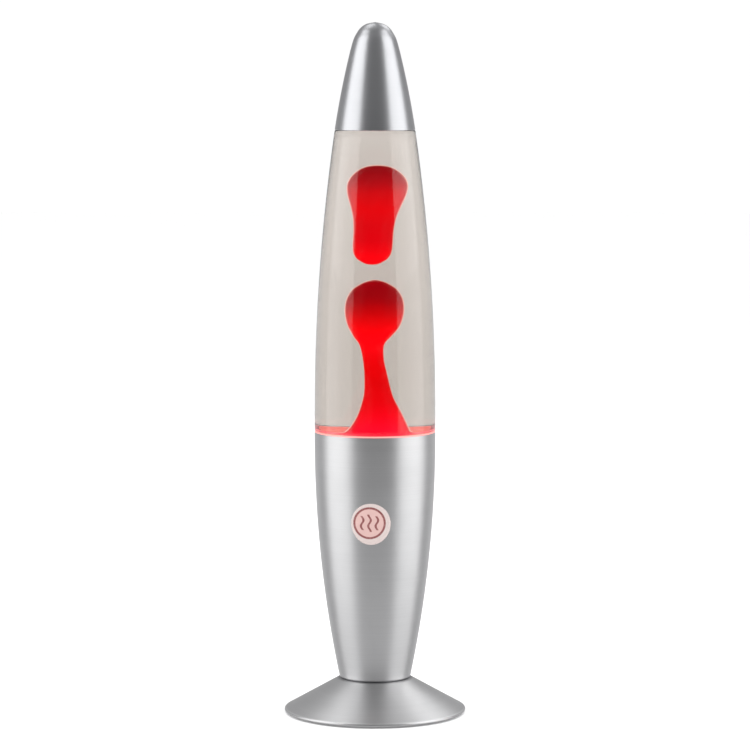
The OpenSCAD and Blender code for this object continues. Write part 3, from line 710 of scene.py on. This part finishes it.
def top_cap():
    """The pointed cap that hides the bottle's neck."""
    nose = smooth([(1, 0), (0.875, 0.375), (0.745, 0.6), (0.6, 0.78), (0.355, 0.93), (0, 1)], 12)
    rise = steps(SHOULDER_Z + 0.2, NOSE_Z, 40)
    outline = [(cap_r(SHOULDER_Z) - 0.2, SHOULDER_Z)]
    outline += [(cap_r(z), z) for z in rise]
    outline += [(max(x, 0) * NOSE_R, NOSE_Z + y * NOSE_H) for x, y in nose[1:]]
    outline += [
        (max(x, 0) * (NOSE_R - CAP_T), NOSE_Z + y * (NOSE_H - CAP_T)) for x, y in reversed(nose[1:])
    ]
    outline += [(cap_r(z) - CAP_T, z) for z in reversed(rise)]
    outline += [(cap_r(SHOULDER_Z) - CAP_T, SHOULDER_Z)]
    return lathe("cap_shell", outline)


def seat_ring():
    """The clear ring the bottle sits in."""
    inner = SEAT_R + 0.35
    skirt = steps(low("seat_ring"), RIM_Z, 8)
    outline = [(cup_r(z) - METAL_T - SNUG, z) for z in skirt]
    outline += [(BODY_R - 0.2, RIM_Z)]
    outline += arc((BODY_R - 0.7, GLASS_Z - 0.45), 0.4, 0, 90, 5)
    outline += [(inner, GLASS_Z), (inner, low("seat_ring"))]
    return lathe("seat_ring_soft", outline)


# ---- Label ----

LABEL_R = half_width("label")
LABEL_Z = (high("label") + low("label")) / 2
LABEL_X = -2.5
OFF_PRINT = 0.7      # how far the print sits off the label's centre


def label():
    """Thin round film that follows the cup, with a softly lifted edge."""
    proud, buried = 0.14, 0.05
    rings, sides = 10, FEW
    radii = [LABEL_R * i / rings for i in range(1, rings)] + [LABEL_R - 0.12, LABEL_R, LABEL_R]
    lifts = [proud] * (rings - 1) + [proud, proud - 0.09, -buried]
    verts, faces = [], []

    def point(rho, angle, lift):
        z = LABEL_Z + rho * math.sin(angle)
        r = cup_r(z) + lift
        turn = (LABEL_X + 0.96 * rho * math.cos(angle)) / cup_r(LABEL_Z)
        return (r * math.sin(turn) * MM, -r * math.cos(turn) * MM, z * MM)

    verts.append(point(0, 0, proud))
    for rho, lift in zip(radii, lifts):
        verts += [point(rho, 2 * math.pi * k / sides, lift) for k in range(sides)]
    for k in range(sides):
        faces.append((0, 1 + k, 1 + (k + 1) % sides))
    for i in range(len(radii) - 1):
        for k in range(sides):
            a, b = 1 + i * sides + k, 1 + i * sides + (k + 1) % sides
            faces.append((a, a + sides, b + sides, b))
    back = len(verts)
    verts.append(point(0, 0, -buried))
    last = 1 + (len(radii) - 1) * sides
    for k in range(sides):
        faces.append((back, last + (k + 1) % sides, last + k))
    mesh = bpy.data.meshes.new("label_film")
    mesh.from_pydata(verts, [], faces)
    return finish_mesh("label_film", mesh, 60)


# ---- Bottle and what is in it ----

def bottle_inside(inset, top):
    """Inner wall of the bottle from its bore (or from height top) down to its floor, moved inwards."""
    top_r = glass_r(SHOULDER_Z)
    floor_z = BOTTLE_Z + 2.6
    wall_z = GLASS_Z + 2.2
    wall = [z for z in steps(wall_z, SHOULDER_Z - 5, 60) if z < SHOULDER_Z - 6]
    foot_r = BOTTLE_FOOT_R - GLASS_T
    points = smooth([
        (BORE_R - inset, SHOULDER_Z + 14.5), (BORE_R + 1.6 - inset, SHOULDER_Z + 9.2),
        (top_r - 5.9 - inset, SHOULDER_Z + 2.7), (top_r - 3.5 - inset, SHOULDER_Z - 0.7),
        (glass_r(SHOULDER_Z - 4) - GLASS_T - inset, SHOULDER_Z - 4),
    ])
    points += [(glass_r(z) - GLASS_T - inset, z) for z in reversed(wall)]
    points += smooth([
        (glass_r(wall_z) - GLASS_T - inset, GLASS_Z + 1.6),
        (SEAT_R - GLASS_T + 0.8 - inset, GLASS_Z - 0.5),
        (SEAT_R - GLASS_T - inset, GLASS_Z - 2.6),
    ], 6)
    points += list(reversed(arc((foot_r - 2.4, floor_z + 2.4), 2.4 - inset, -90, -5, 12)))
    points += [(0, floor_z + inset)]
    return [p for p in points if p[1] <= top]


def glass_bottle():
    """The bottle: seat ledge, long bowed wall, rolled shoulder and neck, pushed-up floor."""
    top_r = glass_r(SHOULDER_Z)
    bend = 0.25
    ledge_r = BODY_R - bend * math.cos(math.radians(31))
    outline = [(0, BOTTLE_Z + 1.2), (BOTTLE_FOOT_R * 0.6, BOTTLE_Z + 1), (BOTTLE_FOOT_R * 0.78, BOTTLE_Z)]
    outline += arc((BOTTLE_FOOT_R - 3.4, BOTTLE_Z + 3.4), 3.4, -90, -5, 14)
    outline += [(SEAT_R, GLASS_Z - 1), (SEAT_R, GLASS_Z), (ledge_r, GLASS_Z)]
    outline += arc((ledge_r, GLASS_Z + bend), bend, -78, -31, 8)
    outline += [(glass_r(z), z) for z in steps(GLASS_Z + bend, SHOULDER_Z - 0.9, 80)]
    outline += arc((top_r - 0.8, SHOULDER_Z - 0.8), 0.8, 15, 90, 8)
    outline += smooth([(top_r - 2.2, SHOULDER_Z), (top_r - 5, SHOULDER_Z + 4.4),
                       (NECK_R + 1.2, SHOULDER_Z + 10.5), (NECK_R, SHOULDER_Z + 14)])
    outline += [
        (NECK_R, NECK_Z - 0.8), (NECK_R - 0.8, NECK_Z), (BORE_R + 0.5, NECK_Z), (BORE_R, NECK_Z - 0.5),
    ]
    outline += bottle_inside(0, LAMP_H)
    return lathe("bottle_glass", outline, sharp=50)


OVERLAP = 0.06       # how far the liquid reaches into the glass, so that no air shows between


def liquid():
    """The clear liquid above the wax pool, closed, and wetting the glass all round."""
    bottom = POOL_Z - 3
    wall = [p for p in bottle_inside(-OVERLAP, LIQUID_Z) if p[1] > bottom]
    outline = [(0, LIQUID_Z), (wall[0][0], LIQUID_Z)] + wall
    outline += [(wall[-1][0], bottom), (0, bottom)]
    return lathe("clear_liquid", outline, sharp=50)


# Wax outlines: (radius, height above the pool). Sways: (sideways x, y, height above the pool).
COLUMN = [
    (30.6, 0), (22, 0.7), (16.8, 2.5), (13.4, 6.9), (10.3, 14.2), (7.1, 24), (6, 29.5),
    (5.1, 39), (4.7, 48), (5.5, 56), (8.4, 61), (11, 65.8), (12.5, 70.8), (13.1, 76.6),
    (12.4, 83), (9.8, 88.8), (6.1, 92.2), (3, 93.8), (0, 94.4),
]
COLUMN_SWAY = [
    (0, 0, 0), (1.8, -0.3, 7.6), (2.2, -0.4, 15.6), (1.6, -0.2, 23.6), (1.15, 0.1, 29.6),
    (0.25, 0.3, 39.6), (-0.8, 0.4, 48.6), (-1.4, 0.3, 57.6), (-0.6, 0.1, 65.6), (-0.2, 0, 77.6),
    (0, 0, 94.4),
]
BLOB = [
    (0, 103), (2.4, 103.3), (4.5, 104.4), (7, 106.7), (8.4, 110), (8.8, 114.5), (8.9, 123), (9.6, 130.5),
    (11.1, 137), (12.8, 143), (13.5, 148.3), (12.6, 152.8), (9.8, 157.3), (5.4, 160.6), (0, 161.6),
]
BLOB_SWAY = [
    (-1.3, 0.2, 102), (-1.1, 0.3, 112), (-0.4, 0.1, 126.6),
    (0.7, -0.2, 141.6), (1.2, -0.1, 152), (1.1, 0, 161.6),
]


def swaying(stations):
    """A function from height to the sideways place of the wax, from stations (x, y, height)."""
    line = smooth([(h, x, y) for x, y, h in stations], 10)
    heights = [p[0] for p in line]

    def at(z):
        h = z - POOL_Z
        i = min(max(bisect.bisect(heights, h), 1), len(line) - 1)
        a, b = line[i - 1], line[i]
        t = min(max((h - a[0]) / (b[0] - a[0]), 0), 1)
        return (a[1] + (b[1] - a[1]) * t, a[2] + (b[2] - a[2]) * t)

    return at


def wax_line(points):
    """A smooth wax outline that crosses the axis level at its closed ends."""
    first, last = points[1], points[-2]
    line = ([(-first[0], first[1])] if points[0][0] == 0 else []) + points + [(-last[0], last[1])]
    return [(r, POOL_Z + h) for r, h in smooth(line, 10) if r >= 0]


def wax_column():
    """The wax pool on the bottle's floor and the column that rises from it."""
    outline = list(reversed(bottle_inside(SNUG, POOL_Z - 1.2))) + wax_line(COLUMN)
    return lathe("wax_column_soft", outline, sharp=80, sway=swaying(COLUMN_SWAY))


def wax_blob():
    """The free blob of wax above the column."""
    return lathe("wax_blob_soft", wax_line(BLOB), sharp=180, sway=swaying(BLOB_SWAY))


def bottle_cap():
    """The rolled closure with its knurled skirt."""
    top = high("bottle_cap")
    bottom = low("bottle_cap")
    ridges = 72
    sides = 6 * ridges
    skirt_r = CLOSURE_R - 0.35
    outline = [
        (NECK_R + 0.3, bottom), (skirt_r - 0.1, bottom), (skirt_r, bottom + 0.3),
        (skirt_r, bottom + 2), (skirt_r, bottom + 3), (skirt_r, top - 2.2), (skirt_r, top - 1.6),
    ]
    outline += arc((skirt_r - 1, top - 1), 1, 0, 90, 6)
    outline += [(skirt_r - 4, top), (0, top), (0, top - 1), (NECK_R + 0.3, top - 1)]
    piece = lathe("closure", outline, sides, 60)
    for v in piece.data.vertices:
        r, z = math.hypot(v.co.x, v.co.y) / MM, v.co.z / MM
        if r > skirt_r - 0.05 and bottom + 2.5 < z < top - 1.9:
            angle = math.atan2(v.co.y, v.co.x)
            grow = 1 + 0.3 * (0.5 + 0.5 * math.cos(ridges * angle)) / r
            v.co.x *= grow
            v.co.y *= grow
    return piece


def bulb_glass():
    """The reflector bulb's glass: neck, flared mirror and domed face."""
    neck_z = high("bulb_screw_cap")
    face_z = high("bulb_glass")
    radius = half_width("bulb_glass")
    wall = 0.8

    def outline(inset):
        r, face = radius - inset, face_z - inset
        h = face - neck_z
        return [(max(x, 0), z) for x, z in smooth([
            (6.3 - inset, neck_z - 2), (6.4 - inset, neck_z + 1), (7.8 - inset, neck_z + 0.13 * h),
            (0.6 * r, neck_z + 0.3 * h), (0.82 * r, neck_z + 0.46 * h), (0.96 * r, neck_z + 0.6 * h),
            (r, neck_z + 0.74 * h), (0.98 * r, face - 6.4), (0.88 * r, face - 3.4),
            (0.7 * r, face - 1.7), (0.35 * r, face - 0.4), (0, face),
        ], 8)]

    return lathe("bulb_envelope", outline(0) + list(reversed(outline(wall))), 128, 60)


# ---- Dressing ----

def dress(piece, material):
    piece.data.materials.clear()
    piece.data.materials.append(material)


def stand_in(piece, node, body, material):
    """piece is shown in place of the CAD node, on its body."""
    dress(piece, material)
    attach(piece, body)
    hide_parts(node)


# Bands: a paler rim line, partly wear and partly a painted highlight, and painted shade in the seam at the
# foot.
CUP_METAL = spun_aluminium(
    "spun_aluminium_cup", rgb(0.60, 0.60, 0.605), 0.42, 1500.0, 0.22,
    [(RIM_Z, 0.5, 0.5, EDGE_WEAR_AND_HIGHLIGHT), (CUP_Z, 1.7, 0.9, PAINTED_SEAM_SHADE)],
)
# Bands: a paler line on the rolled rim, partly wear and partly a painted highlight, and painted shade in
# the seam under the cup.
FOOT_METAL = spun_aluminium(
    "spun_aluminium_foot", rgb(0.60, 0.60, 0.605), 0.42, 1500.0, 0.22,
    [(BEAD_Z + 0.9, 0.4, 0.5, EDGE_WEAR_AND_HIGHLIGHT), (CUP_Z, 0.9, 0.9, PAINTED_SEAM_SHADE)],
)
# Band: a paler line along the lower edge, partly wear and partly a painted highlight.
CAP_METAL = spun_aluminium(
    "spun_aluminium_cap", rgb(0.475, 0.48, 0.495), 0.35, 1700.0, 0.16,
    [(SHOULDER_Z, 0.5, 0.5, EDGE_WEAR_AND_HIGHLIGHT)],
)

# Painted glow of the wax, standing in for the bulb's light from below: (height above the pool, red, green,
# blue)
BLOB_GLOW = [
    (103, 1.15, 0.002, 0.006), (110, 1.06, 0, 0.003), (117, 0.81, 0, 0.003), (126, 0.75, 0, 0.002),
    (136, 0.79, 0, 0.001), (141, 0.69, 0, 0.001), (146, 0.60, 0, 0.001), (150.5, 0.42, 0, 0.002),
    (155, 0.28, 0, 0.002), (161.6, 0.22, 0.001, 0.003),
]
COLUMN_GLOW = [
    (-40, 1.10, 0.05, 0.06), (0, 1.15, 0.02, 0.08), (6, 1.25, 0.004, 0.035), (15, 1.19, 0, 0.01),
    (22, 1.02, 0, 0.002), (34, 0.88, 0, 0), (44, 0.98, 0, 0), (53, 1.14, 0, 0.003), (60, 1.24, 0, 0.003),
    (67, 1.01, 0, 0.001), (72, 0.79, 0, 0), (77, 0.53, 0, 0), (82, 0.33, 0, 0.001), (87, 0.23, 0, 0.001),
    (94.4, 0.22, 0, 0.003),
]


def build():
    """Makes every new piece and gives every carried-over node its material."""
    stand_in(foot(), "foot", "base", FOOT_METAL)
    stand_in(base_cup(), "base_cup", "base", CUP_METAL)
    stand_in(top_cap(), "top_cap", "top_cap", CAP_METAL)
    stand_in(seat_ring(), "seat_ring", "base", clear_silicone())
    print_centre = (LABEL_X - OFF_PRINT, LABEL_Z + OFF_PRINT)
    stand_in(label(), "label", "base", printed_label(print_centre))
    stand_in(glass_bottle(), "glass_bottle", "globe", bottle_glass())
    stand_in(liquid(), "liquid", "globe", clear_liquid())
    stand_in(wax_column(), "wax_column", "globe", red_wax("red_wax_column", COLUMN_GLOW))
    stand_in(wax_blob(), "wax_blob", "wax_blob", red_wax("red_wax_blob", BLOB_GLOW))
    closure_metal = plated("closure_metal", rgb(0.72, 0.72, 0.73), 0.28)
    stand_in(bottle_cap(), "bottle_cap", "globe", closure_metal)
    bulb_top = high("bulb_glass")
    stand_in(bulb_glass(), "bulb_glass", "bulb", reflector_glass(bulb_top - 9, bulb_top))

    steel = plated("zinc_steel", rgb(0.62, 0.63, 0.66), 0.30)
    brass = plated("turned_brass", rgb(0.78, 0.58, 0.27), 0.30)
    nickel = plated("nickel_plate", rgb(0.70, 0.69, 0.66), 0.24)
    black = moulded("black_plastic", rgb(0.028, 0.028, 0.03), 0.5, 2600.0, 0.3, 0.3)
    ceramic = moulded("white_ceramic", rgb(0.86, 0.84, 0.80), 0.6, 1800.0, 0.1, 0.3)
    kept = {
        "bottom_cover": black, "cord_grommet": black, "holder_base": black, "holder_sleeve": black,
        "cap_ring": black,
        "nipple": brass, "thread_shell": brass, "centre_contact": brass, "side_contact": brass,
        "terminal_tube_1": brass, "terminal_tube_2": brass,
        "cup_washer": steel, "lock_washer": steel, "lock_nut": steel, "terminal_screws": steel,
        "holder_screws": steel, "wire_coil": steel,
        "terminal_block": moulded("white_plastic", rgb(0.84, 0.84, 0.82), 0.4, 1500.0, 0.06, 0.1),
        "lead_live": moulded("brown_insulation", rgb(0.20, 0.08, 0.03), 0.4, 1200.0, 0.15, 0.1),
        "lead_neutral": moulded("blue_insulation", rgb(0.04, 0.12, 0.42), 0.4, 1200.0, 0.15, 0.1),
        "holder_core": ceramic,
        "bulb_screw_cap": nickel, "bulb_tip": nickel, "bulb_lead_wires": nickel,
        "bulb_insulator": moulded("black_vitrite", rgb(0.02, 0.02, 0.028), 0.15, 900.0, 0.2, 0.1, 0.5),
        "bulb_stem": clear_stem(),
        "bulb_filament": plated("tungsten", rgb(0.38, 0.36, 0.34), 0.45),
        "cap_seal": moulded("seal_liner", rgb(0.82, 0.82, 0.78), 0.5, 1500.0, 0.08, 0.1),
    }
    rubber = moulded("black_rubber", rgb(0.04, 0.04, 0.04), 0.8, 1800.0, 0.25, 0.5)
    for i in (1, 2, 3, 4):
        kept[f"rubber_foot_{i}"] = rubber
    for node, material in kept.items():
        dress(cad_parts[node], material)


# ---- Studio ----

CAMERA_PLACE = Vector((0, -2.0, 0.3975))
CAMERA_PITCH = 5.584
LENS, SENSOR = 162.8, 36.0      # millimetres


def camera():
    data = bpy.data.cameras.new("camera")
    data.lens = LENS
    data.sensor_width = SENSOR
    piece = bpy.data.objects.new("camera", data)
    bpy.context.scene.collection.objects.link(piece)
    piece.location = CAMERA_PLACE
    piece.rotation_euler = (math.radians(90 - CAMERA_PITCH), 0, 0)
    bpy.context.scene.camera = piece


def softbox(name, place, target, width, height, radiance):
    """A soft panel that faces target. radiance is how bright it looks."""
    data = bpy.data.lights.new(name, "AREA")
    data.shape = "RECTANGLE"
    data.size = width
    data.size_y = height
    data.energy = radiance * math.pi * width * height
    piece = bpy.data.objects.new(name, data)
    bpy.context.scene.collection.objects.link(piece)
    piece.location = place
    aim = Vector(target) - Vector(place)
    piece.rotation_euler = aim.to_track_quat("-Z", "Y").to_euler()
    piece.visible_camera = False


SIDE_RADIANCE = 1.8
LOW_RADIANCE = 1.22
HIGH_RADIANCE = 1.6


def lights():
    """A tall panel in two parts at each side and two small panels overhead behind."""
    for side in (-1, 1):
        softbox(f"side_panel_{side}", (side * 1.0, -0.26, 1.05), (0, 0, 1.05), 1.2, 1.5, SIDE_RADIANCE)
        softbox(f"low_panel_{side}", (side * 1.0, -0.26, -0.05), (0, 0, -0.05), 1.2, 0.7, LOW_RADIANCE)
    softbox("high_panel_left", (-0.36, 0.82, 1.8), (0, 0, 0), 0.8, 0.8, HIGH_RADIANCE)
    softbox("high_panel_right", (0.71, 1.17, 1.45), (0, 0, 0), 0.8, 0.8, HIGH_RADIANCE)


def floor():
    """Plain pale floor, lit up to about the white of the air round it."""
    mesh = bpy.data.meshes.new("floor")
    half = 6.0
    corners = [(-half, -half, 0), (half, -half, 0), (half, half, 0), (-half, half, 0)]
    mesh.from_pydata(corners, [], [(0, 1, 2, 3)])
    piece = bpy.data.objects.new("floor", mesh)
    bpy.context.scene.collection.objects.link(piece)
    material, n, shader, _ = new_material("pale_floor")
    grain = n.group(GRAIN, Colour=rgb(0.9, 0.9, 0.9), Scale=3.0, Tone=0.01,
                    Roughness=0.7, Roughness_spread=0.05)
    n.feed(grain.outputs["Colour"], shader.inputs["Base Color"])
    n.feed(grain.outputs["Roughness"], shader.inputs["Roughness"])
    shader.inputs["Specular IOR Level"].default_value = 0.1
    shader.inputs["Emission Color"].default_value = rgb(1, 1, 1)
    shader.inputs["Emission Strength"].default_value = 0.12
    mesh.materials.append(material)
    piece.visible_glossy = False
    piece.visible_transmission = False


# How bright the studio looks in reflections, in front and behind, below, at and above eye level
FRONT_LOW, FRONT_LEVEL, FRONT_HIGH = 0.84, 0.02, 0.27
BEHIND, BEHIND_LOW = 0.42, 0.80


def air():
    """White all round for light and for the eye, and a dim studio for reflections."""
    world = bpy.data.worlds.new("studio")
    bpy.context.scene.world = world
    world.use_nodes = True
    world.node_tree.nodes.clear()
    n = Nodes(world.node_tree)
    ray = n.add("ShaderNodeLightPath").outputs
    way = n.add("ShaderNodeTexCoord").outputs["Generated"]
    part = n.parts(way)
    through = ray["Is Transmission Ray"]
    outer = n.math("MULTIPLY", ray["Is Glossy Ray"], n.math("SUBTRACT", 1.0, through))
    inner = n.math("MULTIPLY", through, n.span(part[1], -0.35, -0.05, 1.0, 0.0))
    mirrored = n.math("MAXIMUM", outer, inner)
    front = n.math("ADD", n.span(part[2], -0.34, -0.17, FRONT_LOW, FRONT_LEVEL),
                   n.span(part[2], 0.12, 0.34, 0.0, FRONT_HIGH))
    far = n.math("MULTIPLY", n.span(part[1], 0.5, 0.9), n.span(part[2], 0.04, -0.06))
    behind = n.math("ADD", BEHIND, n.math("MULTIPLY", far, BEHIND_LOW - BEHIND))
    dim = n.math("ADD", front, n.math("MULTIPLY", n.span(part[1], -0.8, 0.1),
                                      n.math("SUBTRACT", behind, front)))
    room = n.add("ShaderNodeBackground", {"Strength": dim, "Color": rgb(0.99, 0.99, 1.0)})
    white = n.add("ShaderNodeBackground", {"Strength": 1.02, "Color": rgb(1, 1, 1)})
    both = n.add("ShaderNodeMixShader", {0: mirrored})
    n.feed(white.outputs[0], both.inputs[1])
    n.feed(room.outputs[0], both.inputs[2])
    end = n.add("ShaderNodeOutputWorld")
    n.feed(both.outputs[0], end.inputs[0])


build()
camera()
lights()
floor()
air()
bpy.context.scene.view_settings.view_transform = "Standard"
